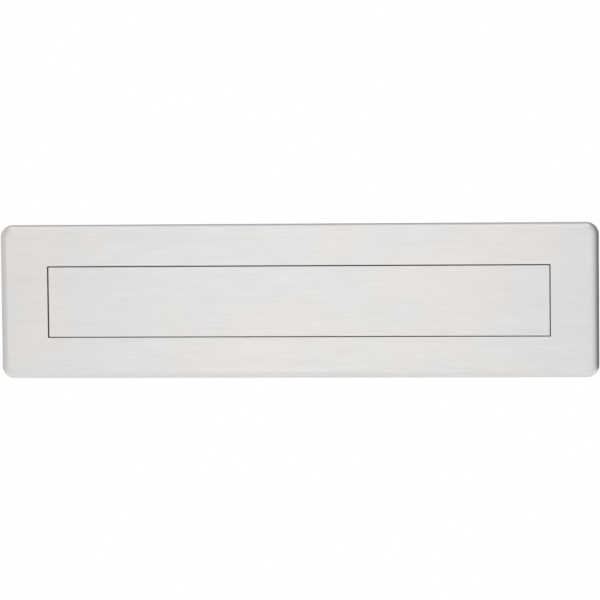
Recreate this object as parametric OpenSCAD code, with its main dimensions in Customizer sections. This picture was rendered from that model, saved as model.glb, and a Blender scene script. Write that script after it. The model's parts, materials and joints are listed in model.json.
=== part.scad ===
// Flush letter plate for a door, with a top-hung flap that opens inwards against two springs.
// Millimetres. X runs along the plate, Z is up and the front faces -Y.
// The origin is the plate's centre, on the plane where its rim and gasket meet the door.

/* [Front plate] */
// Length of the plate
plate_length = 340; // [335:1:360]
// Height of the plate
plate_height = 87.5; // [87:0.5:110]
// Depth of the pressed tray, from the door to the front face
plate_depth = 4.5; // [4.5:0.1:6]
// Thickness of the plate's sheet
sheet = 1.5; // [1.2:0.1:1.5]
// Corner radius seen from the front
corner_radius = 7; // [6:0.5:12]
// Outer radius of the pressed edge
edge_radius = 4; // [2:0.1:4.2]

/* [Flap] */
// Length of the flap's panel
flap_length = 284.8; // [280:0.1:286]
// Height of the flap's panel
flap_height = 39.7; // [38:0.1:41]
// Mean gap around the flap's panel
flap_gap = 0.5; // [0.4:0.05:0.8]
// How far the panel is welded to the right of the aperture's centre
panel_shift = 0.08; // [0:0.01:0.1]
// How far the panel hangs below the aperture's centre
panel_drop = 0.06; // [0:0.01:0.08]
// How far the front of the flap stands back from the plate's face
flap_recess = 0.05; // [0.05:0.01:0.1]
// How far the seal and the backing reach past the aperture at the sides and below
overlap = 3.5; // [3:0.1:4]
// Thickness of the rubber seal
seal_thickness = 1; // [0.8:0.1:1]
// Thickness of the backing's sheet
backing_sheet = 1; // [0.8:0.1:1.2]

/* [Hinge] */
// Distance of the hinge axis behind the door plane
axis_y = 4; // [4:0.1:4.6]
// Height of the hinge axis above the plate's centre
axis_z = 26.5; // [26:0.1:27]
// Diameter of the hinge pin
pin_diameter = 4; // [3.8:0.1:4]
// Running clearance between the pin and its bushes, on the radius
running_fit = 0.05; // [0.03:0.01:0.08]
// Opening angle at which the heels of the ears meet the brackets' feet
open_angle = 80; // [70:1:85]
// Diameter of the spring wire
wire = 1; // [0.8:0.1:1]
// Mean diameter of the spring coil
coil_diameter = 8; // [8:0.1:8.2]

/* [Fixing] */
// Distance between the two fixing barrels
fixing_centres = 314; // [313:0.5:314]
// Outer diameter of a fixing barrel
barrel_diameter = 8; // [7:0.5:8]
// Length of a barrel behind the door plane
barrel_reach = 26; // [20:1:30]
// Thickness of the door that the screws are drawn for
door_thickness = 44; // [40:1:50]

/* [Hidden] */
$fn = 64;
// How far a cutter runs past the face that it opens
past = 1;
front_y = -plate_depth;
web_back_y = front_y + sheet;
aperture_length = flap_length + 2 * flap_gap;
aperture_height = flap_height + 2 * flap_gap;

// Layers of the flap, front to back
panel_front_y = front_y + flap_recess;
panel_back_y = web_back_y + flap_recess;
seal_back_y = panel_back_y + seal_thickness;
backing_back_y = seal_back_y + backing_sheet;

// Outline of the seal and the backing
backing_half_length = aperture_length / 2 + overlap;
backing_bottom_z = -aperture_height / 2 - overlap;
backing_top_drop = 3;
backing_top_z = axis_z - backing_top_drop;
backing_corner = 1.5;

// Ears of the backing, which hold the pin
flange_inner_x = backing_half_length - backing_sheet;
ear_radius = 5;
ear_back_y = 7.5;
ear_run = 12;
flange_foot_y = 2;
heel_reach = 6;
stop_gap = 0.05;
pin_slip = 0.02;

// Nylon bushes pressed into the brackets, with snouts that carry the springs
bush_bore = pin_diameter / 2 + running_fit;
bush_radius = 3;
bush_stub = 0.5;
snout_radius = 3.2;
snout_end_x = 129.5;
bush_flange = 0.8;
bush_flange_radius = 4.6;
side_play = 0.3;

// Brackets on the plate's back, just inside the ears
bracket_outer_x = flange_inner_x - side_play - bush_flange;
bracket_inner_x = bracket_outer_x - sheet;
bracket_foot_x = 157;
bracket_clearance = 1;
bracket_low_z = backing_top_z + bracket_clearance;
bracket_high_z = 35;
bracket_ear_radius = 5;
bracket_bend = 1;
foot_back_y = web_back_y + sheet;
heel_height = axis_y - foot_back_y - stop_gap;

// Pin and its clips
clip_sheet = 0.7;
clip_groove_depth = 0.4;
clip_groove_radius = pin_diameter / 2 - clip_groove_depth;
clip_play = 0.2;
clip_x = backing_half_length + clip_play;
clip_radius = 4.2;
clip_mouth = clip_groove_radius * 1.8;
clip_hole_radius = 0.75;
clip_hole_centre = clip_radius * 0.66;
clip_hole_turns = [40, 140, 205, 335];
clip_groove_slack = 0.1;
pin_lead = 0.4;
pin_tail = 1.5;
pin_half_length = clip_x + clip_sheet + pin_tail;

// Torsion springs
coil_clearance = 2.2;
coil_end_x = bracket_inner_x - coil_clearance;
coil_turns = 9;
coil_pitch = wire * 1.05;
coil_start_x = coil_end_x - coil_turns * coil_pitch;
upper_leg_z = 34;
upper_leg_gap = 0.1;
lower_leg_z = 12;
lower_leg_gap = 0.05;

// Fasteners of the flap
flap_stud_x = [-114, -38, 38, 114];
flap_stud_z = -2;
flap_stud_diameter = 4;
flap_stud_end_y = 4;
flap_nut_across = 7;
flap_nut_height = 3.2;
stud_hole_radius = 2.3;

// Gasket ring in the rim, clear of the bend inside the pressed edge
gasket_clearance = 0.2;
gasket_inset = edge_radius + gasket_clearance;
gasket_width = 3.2;
gasket_inner_radius = 1.5;

// Fixings through the door
barrel_bore = 2.1;
barrel_bore_depth = 13;
screw_radius = 2.45;
screw_core_radius = 2;
screw_engagement = 12;
screw_tip_y = barrel_reach - screw_engagement;
screw_shoulder_y = barrel_reach + 0.5;
washer_radius = 6;
washer_bore = 2.7;
washer_thickness = 1;
screw_seat_y = door_thickness + washer_thickness;
head_radius = 4.75;
head_height = 3;
head_crown = 0.8;
head_crown_inset = 1.1;
socket_across = 3;
socket_depth = 1.6;

// Brushed stainless of the visible sheets
module steel() color([0.83, 0.83, 0.82]) children();
// Plain mill-finish steel of the hidden metal
module dull_steel() color([0.66, 0.67, 0.68]) children();
// Black rubber and foam
module rubber() color([0.08, 0.08, 0.09]) children();
// Natural white nylon
module nylon() color([0.90, 0.89, 0.84]) children();

// A filled rectangle about the origin with rounded corners
module rounded_area(length, height, radius) {
    square([length - 2 * radius, height], center = true);
    square([length, height - 2 * radius], center = true);
    for (sx = [-1, 1], sz = [-1, 1])
        translate([sx * (length / 2 - radius), sz * (height / 2 - radius)]) circle(radius);
}

// A flat sheet standing across Y: an outline drawn in X and Z, from y_low to y_high
module sheet_xz(y_low, y_high) {
    translate([0, y_high, 0]) rotate([90, 0, 0]) linear_extrude(y_high - y_low) children();
}

// A flat sheet standing across X: an outline drawn in Y and Z, from x_low to x_high
module sheet_yz(x_low, x_high) {
    translate([x_low, 0, 0])
        rotate([90, 0, 90])
            linear_extrude(x_high - x_low) children();
}

// A round bar along X about the hinge axis
module bar_x(x_low, x_high, radius) {
    translate([x_low, axis_y, axis_z])
        rotate([0, 90, 0])
            cylinder(h = x_high - x_low, r = radius);
}

// A round bar along Y
module bar_y(x, z, y_low, y_high, radius) {
    translate([x, y_high, z])
        rotate([90, 0, 0])
            cylinder(h = y_high - y_low, r = radius);
}

// A straight wire between two points in the plane across X
module wire_leg(x, from, to) {
    run = to - from;
    translate([x, from[0], from[1]])
        rotate([atan2(run[1], run[0]) - 90, 0, 0])
            cylinder(h = norm(run), r = wire / 2);
}

// Half of the parts are mirrored to the left
module on_left() mirror([1, 0, 0]) children();

// Section of the pressed edge: x outwards from the flat face, y up from the rim to the face
module edge_section() {
    inner_radius = edge_radius - sheet;
    difference() {
        union() {
            square([edge_radius, plate_depth - edge_radius]);
            translate([0, plate_depth - edge_radius]) intersection() {
                circle(edge_radius);
                square(edge_radius);
            }
        }
        translate([-past, -past])
            square([past + inner_radius, past + plate_depth - edge_radius]);
        translate([0, plate_depth - edge_radius]) circle(inner_radius);
    }
}

// One straight length of pressed edge along Y, starting at the flat face's border
module edge_run(length) {
    rotate([90, 0, 0])
        linear_extrude(length, center = true)
            edge_section();
}

// The tray with its face upwards, before it is stood up
module tray() {
    flat_length = plate_length - 2 * edge_radius;
    flat_height = plate_height - 2 * edge_radius;
    turn_radius = corner_radius - edge_radius;
    straight_length = plate_length - 2 * corner_radius;
    straight_height = plate_height - 2 * corner_radius;
    translate([0, 0, plate_depth - sheet])
        linear_extrude(sheet)
            rounded_area(flat_length, flat_height, turn_radius);
    for (turn = [0, 180]) rotate(turn) {
        translate([flat_length / 2, 0, 0]) edge_run(straight_height);
        translate([0, flat_height / 2, 0]) rotate(90) edge_run(straight_length);
    }
    for (corner = [[1, 1, 0], [-1, 1, 90], [-1, -1, 180], [1, -1, 270]])
        translate([corner[0] * straight_length / 2, corner[1] * straight_height / 2, 0])
            rotate(corner[2])
                rotate_extrude(angle = 90)
                    translate([turn_radius, 0]) edge_section();
}

module front_plate() {
    steel() difference() {
        rotate([90, 0, 0]) tray();
        sheet_xz(front_y - past, past)
            square([aperture_length, aperture_height], center = true);
    }
}

module door_gasket() {
    outer_length = plate_length - 2 * gasket_inset;
    outer_height = plate_height - 2 * gasket_inset;
    outer_radius = corner_radius - gasket_inset;
    inner_length = outer_length - 2 * gasket_width;
    inner_height = outer_height - 2 * gasket_width;
    rubber() sheet_xz(web_back_y, 0) difference() {
        rounded_area(outer_length, outer_height, outer_radius);
        rounded_area(inner_length, inner_height, gasket_inner_radius);
    }
}

// Bracket on the right: a foot welded to the plate's back and an ear that carries the bush
module bracket() {
    bend_x = bracket_outer_x + bracket_bend;
    bend_y = foot_back_y + bracket_bend;
    rise = bracket_high_z - bracket_low_z;
    dull_steel() difference() {
        union() {
            translate([0, 0, bracket_low_z]) linear_extrude(rise) {
                translate([bend_x, web_back_y]) square([bracket_foot_x - bend_x, sheet]);
                intersection() {
                    translate([bend_x, bend_y]) difference() {
                        circle(bracket_bend + sheet);
                        circle(bracket_bend);
                    }
                    translate([bracket_inner_x, web_back_y])
                        square(bracket_bend + sheet);
                }
            }
            sheet_yz(bracket_inner_x, bracket_outer_x) {
                polygon([
                    [bend_y, bracket_low_z],
                    [axis_y, bracket_low_z],
                    [axis_y + bracket_ear_radius, axis_z],
                    [axis_y, axis_z + bracket_ear_radius],
                    [bend_y, bracket_high_z]
                ]);
                translate([axis_y, axis_z]) circle(bracket_ear_radius);
            }
        }
        bar_x(bracket_inner_x - past, bracket_outer_x + past, bush_radius);
    }
}

module hinge_bracket_right() bracket();
module hinge_bracket_left() on_left() bracket();

module hinge_pin() {
    dull_steel() difference() {
        union() {
            bar_x(-pin_half_length + pin_lead, pin_half_length - pin_lead, pin_diameter / 2);
            for (side = [-1, 1])
                translate([side * (pin_half_length - pin_lead), axis_y, axis_z])
                    rotate([0, side * 90, 0])
                        cylinder(
                            h = pin_lead,
                            r1 = pin_diameter / 2,
                            r2 = pin_diameter / 2 - pin_lead
                        );
        }
        for (side = [-1, 1])
            translate([side * (clip_x + clip_sheet / 2), axis_y, axis_z])
                rotate([0, 90, 0]) difference() {
                    cylinder(h = clip_sheet + clip_groove_slack, r = pin_diameter, center = true);
                    cylinder(h = clip_sheet + past, r = clip_groove_radius, center = true);
                }
    }
}

// E-clip on the right: a ring open downwards that grips the groove, with four round holes
module clip() {
    dull_steel() sheet_yz(clip_x, clip_x + clip_sheet)
        translate([axis_y, axis_z]) difference() {
            circle(clip_radius);
            circle(clip_groove_radius);
            translate([-clip_mouth / 2, -clip_radius - past])
                square([clip_mouth, clip_radius + past]);
            for (turn = clip_hole_turns)
                rotate(turn) translate([clip_hole_centre, 0]) circle(clip_hole_radius);
        }
}

module pin_clip_right() clip();
module pin_clip_left() on_left() clip();

// Bush in the right bracket: flange outside, body in the ear, snout inwards through the coil
module bush() {
    nylon() difference() {
        union() {
            bar_x(bracket_outer_x, bracket_outer_x + bush_flange, bush_flange_radius);
            bar_x(bracket_inner_x - bush_stub, bracket_outer_x, bush_radius);
            bar_x(snout_end_x, bracket_inner_x, snout_radius);
        }
        bar_x(snout_end_x - past, bracket_outer_x + bush_flange + past, bush_bore);
    }
}

module bracket_bush_right() bush();
module bracket_bush_left() on_left() bush();

// Torsion spring on the right: its coil drawn as a close-wound tube, with both legs
module spring() {
    coil_radius = coil_diameter / 2;
    front_of_coil_y = axis_y - coil_radius;
    upper_end = [web_back_y + wire / 2 + upper_leg_gap, upper_leg_z];
    lower_end = [backing_back_y + wire / 2 + lower_leg_gap, lower_leg_z];
    dull_steel() {
        difference() {
            bar_x(coil_start_x, coil_end_x, coil_radius + wire / 2);
            bar_x(coil_start_x - past, coil_end_x + past, coil_radius - wire / 2);
        }
        wire_leg(coil_end_x - wire / 2, [front_of_coil_y, axis_z], upper_end);
        wire_leg(coil_start_x + wire / 2, [front_of_coil_y, axis_z], lower_end);
    }
}

module return_spring_right() spring();
module return_spring_left() on_left() spring();

// Internally threaded post on the right, drawn with its tapping-size bore
module barrel() {
    dull_steel() difference() {
        bar_y(fixing_centres / 2, 0, web_back_y, barrel_reach, barrel_diameter / 2);
        bar_y(
            fixing_centres / 2, 0,
            barrel_reach - barrel_bore_depth, barrel_reach + past, barrel_bore
        );
    }
}

module fixing_barrel_right() barrel();
module fixing_barrel_left() on_left() barrel();

// Button-head screw on the right, from the room side into the barrel
module screw() {
    head_end_y = screw_seat_y + head_height;
    crown_y = head_end_y - head_crown;
    dull_steel() difference() {
        union() {
            bar_y(fixing_centres / 2, 0, screw_tip_y, screw_shoulder_y, screw_core_radius);
            bar_y(fixing_centres / 2, 0, screw_shoulder_y, crown_y, screw_radius);
            bar_y(fixing_centres / 2, 0, screw_seat_y, crown_y, head_radius);
            translate([fixing_centres / 2, crown_y, 0])
                rotate([-90, 0, 0])
                    cylinder(h = head_crown, r1 = head_radius, r2 = head_radius - head_crown_inset);
        }
        translate([fixing_centres / 2, head_end_y - socket_depth, 0])
            rotate([-90, 30, 0])
                cylinder(h = socket_depth + past, r = socket_across / sqrt(3), $fn = 6);
    }
}

module fixing_screw_right() screw();
module fixing_screw_left() on_left() screw();

module washer() {
    dull_steel() difference() {
        bar_y(
            fixing_centres / 2, 0,
            door_thickness, screw_seat_y, washer_radius
        );
        bar_y(
            fixing_centres / 2, 0,
            door_thickness - past, screw_seat_y + past, washer_bore
        );
    }
}

module screw_washer_right() washer();
module screw_washer_left() on_left() washer();

module flap_panel() {
    steel() translate([panel_shift, 0, -panel_drop])
        sheet_xz(panel_front_y, panel_back_y)
            square([flap_length, flap_height], center = true);
}

// Outline shared by the seal and the base of the backing
module backing_area(half_length) {
    height = backing_top_z - backing_bottom_z;
    translate([0, (backing_top_z + backing_bottom_z) / 2]) difference() {
        rounded_area(2 * half_length, height, backing_corner);
        translate([0, -(backing_top_z + backing_bottom_z) / 2])
            for (x = flap_stud_x) translate([x, flap_stud_z]) circle(stud_hole_radius);
    }
}

module flap_seal() {
    rubber() sheet_xz(panel_back_y, seal_back_y) backing_area(backing_half_length);
}

// Side flange of the backing, with its hinge ear and the heel that stops the opened flap
module flange_outline() {
    difference() {
        union() {
            polygon([
                [seal_back_y, backing_bottom_z + backing_corner],
                [flange_foot_y, backing_bottom_z + backing_corner],
                [ear_back_y, axis_z - ear_run],
                [axis_y + ear_radius, axis_z],
                [axis_y, axis_z],
                [seal_back_y, backing_top_z]
            ]);
            translate([axis_y, axis_z]) {
                circle(ear_radius);
                rotate(90 - open_angle) square([heel_reach, heel_height]);
            }
        }
        translate([axis_y, axis_z]) circle(pin_diameter / 2 + pin_slip);
    }
}

module flap_backing() {
    dull_steel() {
        sheet_xz(seal_back_y, backing_back_y) backing_area(backing_half_length);
        for (side = [0, 1]) mirror([side, 0, 0])
            sheet_yz(flange_inner_x, backing_half_length) flange_outline();
    }
}

module flap_studs() {
    dull_steel() for (x = flap_stud_x)
        bar_y(x, flap_stud_z, panel_back_y, flap_stud_end_y, flap_stud_diameter / 2);
}

module flap_nuts() {
    nut_y = backing_back_y + flap_nut_height;
    dull_steel() for (x = flap_stud_x) difference() {
        translate([x, nut_y, flap_stud_z])
            rotate([90, 0, 0])
                cylinder(h = flap_nut_height, r = flap_nut_across / sqrt(3), $fn = 6);
        bar_y(
            x, flap_stud_z,
            backing_back_y - past, nut_y + past, flap_stud_diameter / 2
        );
    }
}

front_plate();
door_gasket();
hinge_bracket_left();
hinge_bracket_right();
hinge_pin();
pin_clip_left();
pin_clip_right();
bracket_bush_left();
bracket_bush_right();
return_spring_left();
return_spring_right();
fixing_barrel_left();
fixing_barrel_right();
fixing_screw_left();
fixing_screw_right();
screw_washer_left();
screw_washer_right();
flap_panel();
flap_seal();
flap_backing();
flap_studs();
flap_nuts();
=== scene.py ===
import json
import math
import random

import bmesh
import bpy
from mathutils import Matrix, Vector


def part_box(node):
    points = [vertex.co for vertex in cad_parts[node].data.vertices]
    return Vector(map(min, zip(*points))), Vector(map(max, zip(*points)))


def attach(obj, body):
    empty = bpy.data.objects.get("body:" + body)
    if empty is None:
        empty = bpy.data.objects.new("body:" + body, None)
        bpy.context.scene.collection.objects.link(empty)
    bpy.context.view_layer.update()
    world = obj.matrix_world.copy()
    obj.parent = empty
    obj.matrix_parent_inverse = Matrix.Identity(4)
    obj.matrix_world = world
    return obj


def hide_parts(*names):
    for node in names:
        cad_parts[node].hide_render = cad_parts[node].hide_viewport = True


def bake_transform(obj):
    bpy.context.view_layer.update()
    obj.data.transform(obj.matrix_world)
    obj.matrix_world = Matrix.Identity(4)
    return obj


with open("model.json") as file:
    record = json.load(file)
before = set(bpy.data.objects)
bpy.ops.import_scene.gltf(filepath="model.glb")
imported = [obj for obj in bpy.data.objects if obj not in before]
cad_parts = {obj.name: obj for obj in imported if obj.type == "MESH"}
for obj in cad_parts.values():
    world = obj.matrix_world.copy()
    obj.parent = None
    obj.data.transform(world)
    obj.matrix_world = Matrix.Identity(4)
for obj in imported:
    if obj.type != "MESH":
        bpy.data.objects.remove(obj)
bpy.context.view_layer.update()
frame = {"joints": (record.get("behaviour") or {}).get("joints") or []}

# --- Front plate -------------------------------------------------------------------------
# One blank of 1.5 mm stainless steel, pressed so that its edge turns back 4.5 mm to the door.
# The aperture is laser-cut and only just deburred, and the face is brushed along its length.

MM = 0.001
SHEET = 1.5
EDGE_RADIUS = 4.0
BEND_STEPS = 12
CORNER_RADIUS = 7.0
CORNER_STEPS = 14
RIM_BREAK = 0.1
GAP = 0.5
APERTURE_CORNER = 0.35
EDGE_ROUND = 0.3
DEBURR = 0.12
# a narrow flat band next to each rounded edge keeps the shading of the big faces flat
SUPPORT = 0.06
BARREL_HEAT = 8.5


def box_mm(node):
    """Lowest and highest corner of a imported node, in millimetres."""
    low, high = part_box(node)
    return low / MM, high / MM


def rounded_loop(half_x, half_z, radius, y):
    """A rounded rectangle seen from the front, one point list going anticlockwise."""
    points = []
    for sign_x, sign_z, start in ((1, 1, 0), (-1, 1, 90), (-1, -1, 180), (1, -1, 270)):
        for k in range(CORNER_STEPS + 1):
            angle = math.radians(start + 90 * k / CORNER_STEPS)
            points.append((
                sign_x * (half_x - radius) + radius * math.cos(angle),
                y,
                sign_z * (half_z - radius) + radius * math.sin(angle),
            ))
    return points


def skin(name, rings, closed=False, sharp=32):
    """A piece over rings of equally many points, closed on itself or capped at both ends."""
    mesh = bpy.data.meshes.new(name)
    count = len(rings[0])
    points = [Vector(p) * MM for ring in rings for p in ring]
    faces = []
    for i in range(len(rings) if closed else len(rings) - 1):
        here, there = i * count, (i + 1) % len(rings) * count
        for k in range(count):
            after = (k + 1) % count
            faces.append((here + k, here + after, there + after, there + k))
    if not closed:
        last = (len(rings) - 1) * count
        faces += [tuple(range(count))[::-1], tuple(range(last, last + count))]
    mesh.from_pydata(points, [], faces)
    return finished(name, mesh, sharp)


def finished(name, mesh, sharp=32):
    """A piece of a mesh with outward normals, smooth except at edges above the sharp angle."""
    work = bmesh.new()
    work.from_mesh(mesh)
    bmesh.ops.recalc_face_normals(work, faces=work.faces)
    work.to_mesh(mesh)
    work.free()
    mesh.polygons.foreach_set("use_smooth", [True] * len(mesh.polygons))
    mesh.set_sharp_from_angle(angle=math.radians(sharp))
    piece = bpy.data.objects.new(name, mesh)
    bpy.context.collection.objects.link(piece)
    return piece


def linear(hex_colour):
    """An sRGB hex colour as linear RGBA."""
    parts = [int(hex_colour[i:i + 2], 16) / 255 for i in (1, 3, 5)]
    parts = [p / 12.92 if p <= 0.04045 else ((p + 0.055) / 1.055) ** 2.4 for p in parts]
    return (*parts, 1.0)


def connect(tree, node, inputs):
    """Fills a node's inputs: a value is set on its socket, another node's output is linked."""
    for key, value in inputs.items():
        if isinstance(value, bpy.types.NodeSocket):
            tree.links.new(value, node.inputs[key])
        else:
            node.inputs[key].default_value = value


def add_node(tree, kind, settings=None, inputs=None, stops=()):
    """Adds a node with its settings, its inputs and, on a colour ramp, its colour stops."""
    node = tree.nodes.new(kind)
    for key, value in (settings or {}).items():
        setattr(node, key, value)
    connect(tree, node, inputs or {})
    if stops:
        ramp = node.color_ramp.elements
        ramp[0].position, ramp[1].position = stops[0][0], stops[-1][0]
        for position, _ in stops[1:-1]:
            ramp.new(position)
        for element, (_, hex_colour) in zip(ramp, stops):
            element.color = linear(hex_colour)
    return node


def new_material(name):
    """An empty material, its node tree, and the place on the object to draw patterns from."""
    material = bpy.data.materials.new(name)
    material.use_nodes = True
    tree = material.node_tree
    return material, tree, add_node(tree, "ShaderNodeTexCoord").outputs["Object"]


def streaks(length, width):
    """The scale of a pattern drawn out along X, from its streaks' size in millimetres."""
    return 1 / (length * MM), 1 / (width * MM), 1 / (width * MM)


def brushed_stainless(name):
    """Stainless sheet finished on a belt of about 180 grit, run along the plate.
    The belt leaves long hair lines that spread a light up and down but not sideways."""
    material, tree, place = new_material(name)
    # hair lines are about 0.05 mm wide; drawn 0.4 mm wide so that they show, and 18 mm long
    hair_place = add_node(tree, "ShaderNodeMapping", inputs={
        "Vector": place, "Scale": streaks(18, 0.4)})
    hair = add_node(tree, "ShaderNodeTexNoise", inputs={
        "Vector": hair_place.outputs[0], "Scale": 1.0, "Detail": 3.0, "Roughness": 0.6})
    # the belt's slower bands, 3 mm wide and 160 mm long
    band_place = add_node(tree, "ShaderNodeMapping", inputs={
        "Vector": place, "Scale": streaks(160, 3)})
    band = add_node(tree, "ShaderNodeTexNoise", inputs={
        "Vector": band_place.outputs[0], "Scale": 1.0, "Detail": 2.0})
    # the oxide film and handling leave patches about 60 mm across, slightly warm and cool
    patch = add_node(tree, "ShaderNodeTexNoise", inputs={
        "Vector": place, "Scale": 1 / (60 * MM), "Detail": 1.0})
    tint = add_node(
        tree, "ShaderNodeValToRGB", inputs={"Fac": patch.outputs["Fac"]},
        stops=((0.36, "#DFE0E0"), (0.64, "#E3E0DE")))
    lines = add_node(tree, "ShaderNodeMath", {"operation": "MULTIPLY_ADD"}, {
        0: band.outputs["Fac"], 1: 0.25, 2: hair.outputs["Fac"]})
    shade = add_node(tree, "ShaderNodeMapRange", inputs={
        "Value": lines.outputs[0], "From Min": 0.4, "From Max": 0.85,
        "To Min": 0.92, "To Max": 1.0})
    colour = add_node(tree, "ShaderNodeVectorMath", {"operation": "SCALE"}, {
        0: tint.outputs["Color"], "Scale": shade.outputs["Result"]})
    rough = add_node(tree, "ShaderNodeMapRange", inputs={
        "Value": lines.outputs[0], "From Min": 0.4, "From Max": 0.85,
        "To Min": 0.38, "To Max": 0.30})
    groove = add_node(tree, "ShaderNodeBump", inputs={
        "Height": hair.outputs["Fac"], "Strength": 0.5, "Distance": 0.03 * MM})
    # the grain runs along X, so the tangent goes round X
    across = add_node(tree, "ShaderNodeTangent", {"direction_type": "RADIAL", "axis": "X"})
    connect(tree, tree.nodes["Principled BSDF"], {
        "Base Color": colour.outputs[0], "Roughness": rough.outputs["Result"],
        "Normal": groove.outputs[0], "Tangent": across.outputs[0],
        "Metallic": 1.0, "Anisotropic": 0.75})
    return material


def mill_stainless(name, welds=()):
    """Stainless sheet as it leaves the mill, 2B: smooth and dull, with faint rolling lines.
    Each weld, a place and the reach of its heat in mm, leaves rings of straw and blue."""
    material, tree, place = new_material(name)
    # rolling lines about 0.8 mm apart and 30 mm long
    roll_place = add_node(tree, "ShaderNodeMapping", inputs={
        "Vector": place, "Scale": streaks(30, 0.8)})
    roll = add_node(tree, "ShaderNodeTexNoise", inputs={
        "Vector": roll_place.outputs[0], "Scale": 1.0, "Detail": 2.0})
    # clouds from the pickling bath, about 12 mm across
    cloud = add_node(tree, "ShaderNodeTexNoise", inputs={
        "Vector": place, "Scale": 1 / (12 * MM), "Detail": 4.0, "Roughness": 0.6})
    both = add_node(tree, "ShaderNodeMath", {"operation": "MULTIPLY_ADD"}, {
        0: cloud.outputs["Fac"], 1: 0.7, 2: roll.outputs["Fac"]})
    tint = add_node(
        tree, "ShaderNodeValToRGB", inputs={"Fac": cloud.outputs["Fac"]},
        stops=((0.3, "#C3C4C5"), (0.7, "#D0CFCC")))
    rough = add_node(tree, "ShaderNodeMapRange", inputs={
        "Value": both.outputs[0], "From Min": 0.5, "From Max": 1.2,
        "To Min": 0.28, "To Max": 0.44})
    relief = add_node(tree, "ShaderNodeBump", inputs={
        "Height": both.outputs[0], "Strength": 0.3, "Distance": 0.02 * MM})
    colour = tint.outputs["Color"]
    for spot, reach in welds:
        away = add_node(tree, "ShaderNodeVectorMath", {"operation": "DISTANCE"}, {
            0: place, 1: tuple(c * MM for c in spot)})
        heat = add_node(tree, "ShaderNodeMath", {"operation": "DIVIDE"}, {
            0: away.outputs["Value"], 1: reach * MM})
        ring = add_node(
            tree, "ShaderNodeValToRGB", inputs={"Fac": heat.outputs[0]},
            stops=((0.0, "#B9B6B2"), (0.36, "#BAB8B5"), (0.46, "#A3ADBE"),
                   (0.57, "#DFCBA2"), (0.76, "#F6F0E3"), (1.0, "#FFFFFF")))
        heated = add_node(
            tree, "ShaderNodeMix", {"data_type": "RGBA", "blend_type": "MULTIPLY"},
            {0: 1.0, 6: colour, 7: ring.outputs["Color"]})
        colour = heated.outputs[2]
    connect(tree, tree.nodes["Principled BSDF"], {
        "Base Color": colour, "Roughness": rough.outputs["Result"],
        "Normal": relief.outputs[0], "Metallic": 1.0})
    return material


plate_low, plate_high = box_mm("front_plate")
panel_low, panel_high = box_mm("flap_panel")
half_length, half_height = plate_high.x, plate_high.z
face_y, rim_y = plate_low.y, plate_high.y
web_y = face_y + SHEET
bend_y = face_y + EDGE_RADIUS
panel_half = (panel_high - panel_low) / 2
aperture_x, aperture_z = panel_half.x + GAP, panel_half.z + GAP


def plate_ring(inset, y):
    """A ring parallel to the plate's outline, inset from it."""
    return rounded_loop(
        half_length - inset, half_height - inset, CORNER_RADIUS - inset, y)


def aperture_ring(outset, y):
    """A ring parallel to the aperture, outset from it."""
    return rounded_loop(
        aperture_x + outset, aperture_z + outset, APERTURE_CORNER + outset, y)


def pressed_edge(radius):
    """Rings over the pressed bend from its wall to the flat, at one radius of the bend."""
    turns = [math.pi / 2 * step / BEND_STEPS for step in range(BEND_STEPS + 1)]
    return [
        plate_ring(EDGE_RADIUS - radius * math.cos(t), bend_y - radius * math.sin(t))
        for t in turns]


def rounded_edge(radius, steps=5):
    """A quarter turn from a face over its edge, as (inset from the edge, drop) pairs."""
    turns = [math.pi / 2 * k / steps for k in range(steps + 1)]
    return [(radius * (1 - math.sin(t)), radius * (1 - math.cos(t))) for t in turns]


outside_rings = [plate_ring(RIM_BREAK, rim_y), plate_ring(0.0, rim_y - RIM_BREAK)]
outside_rings += pressed_edge(EDGE_RADIUS)
outside_rings += [
    plate_ring(EDGE_RADIUS + SUPPORT, face_y),
    aperture_ring(EDGE_ROUND + SUPPORT, face_y)]
outside_rings += [
    aperture_ring(inset, face_y + drop) for inset, drop in rounded_edge(EDGE_ROUND)]
inside_rings = [
    aperture_ring(0.0, web_y - DEBURR),
    aperture_ring(DEBURR, web_y),
    aperture_ring(DEBURR + SUPPORT, web_y),
    plate_ring(EDGE_RADIUS + SUPPORT, web_y)]
inside_rings += pressed_edge(EDGE_RADIUS - SHEET)[::-1]
inside_rings += [
    plate_ring(SHEET, rim_y - RIM_BREAK), plate_ring(SHEET - RIM_BREAK, rim_y)]
front_plate = skin("front_plate_pressed", outside_rings + inside_rings, closed=True)
# the belt only reaches the face: the inside of the tray keeps the mill's finish, with the
# heat of the barrels' welds
barrel_low, barrel_high = box_mm("fixing_barrel_right")
barrel_x = (barrel_low.x + barrel_high.x) / 2
brushed_face = brushed_stainless("brushed_stainless")
tray_inside = mill_stainless(
    "mill_stainless_inside",
    [((side * barrel_x, web_y, 0), BARREL_HEAT) for side in (-1, 1)])
front_plate.data.materials.append(brushed_face)
front_plate.data.materials.append(tray_inside)
for polygon in front_plate.data.polygons:
    if polygon.index // len(outside_rings[0]) > len(outside_rings):
        polygon.material_index = 1
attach(front_plate, "plate")
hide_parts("front_plate")

# --- Flap panel --------------------------------------------------------------------------
# A flat blank cut from the same brushed sheet as the plate, half a millimetre smaller than
# the aperture all round, and hung a hair low and to the right. Its laser-cut edges are
# deburred like the aperture's.

PANEL_CORNER, LEAST_CORNER = 0.45, 0.1
panel_front, panel_back = panel_low.y, panel_high.y
panel_centre = (panel_low + panel_high) / 2


def panel_ring(inset, y):
    """A ring parallel to the panel's outline, inset from it."""
    loop = rounded_loop(
        panel_half.x - inset, panel_half.z - inset,
        max(PANEL_CORNER - inset, LEAST_CORNER), y)
    return [(x + panel_centre.x, y, z + panel_centre.z) for x, y, z in loop]


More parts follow.
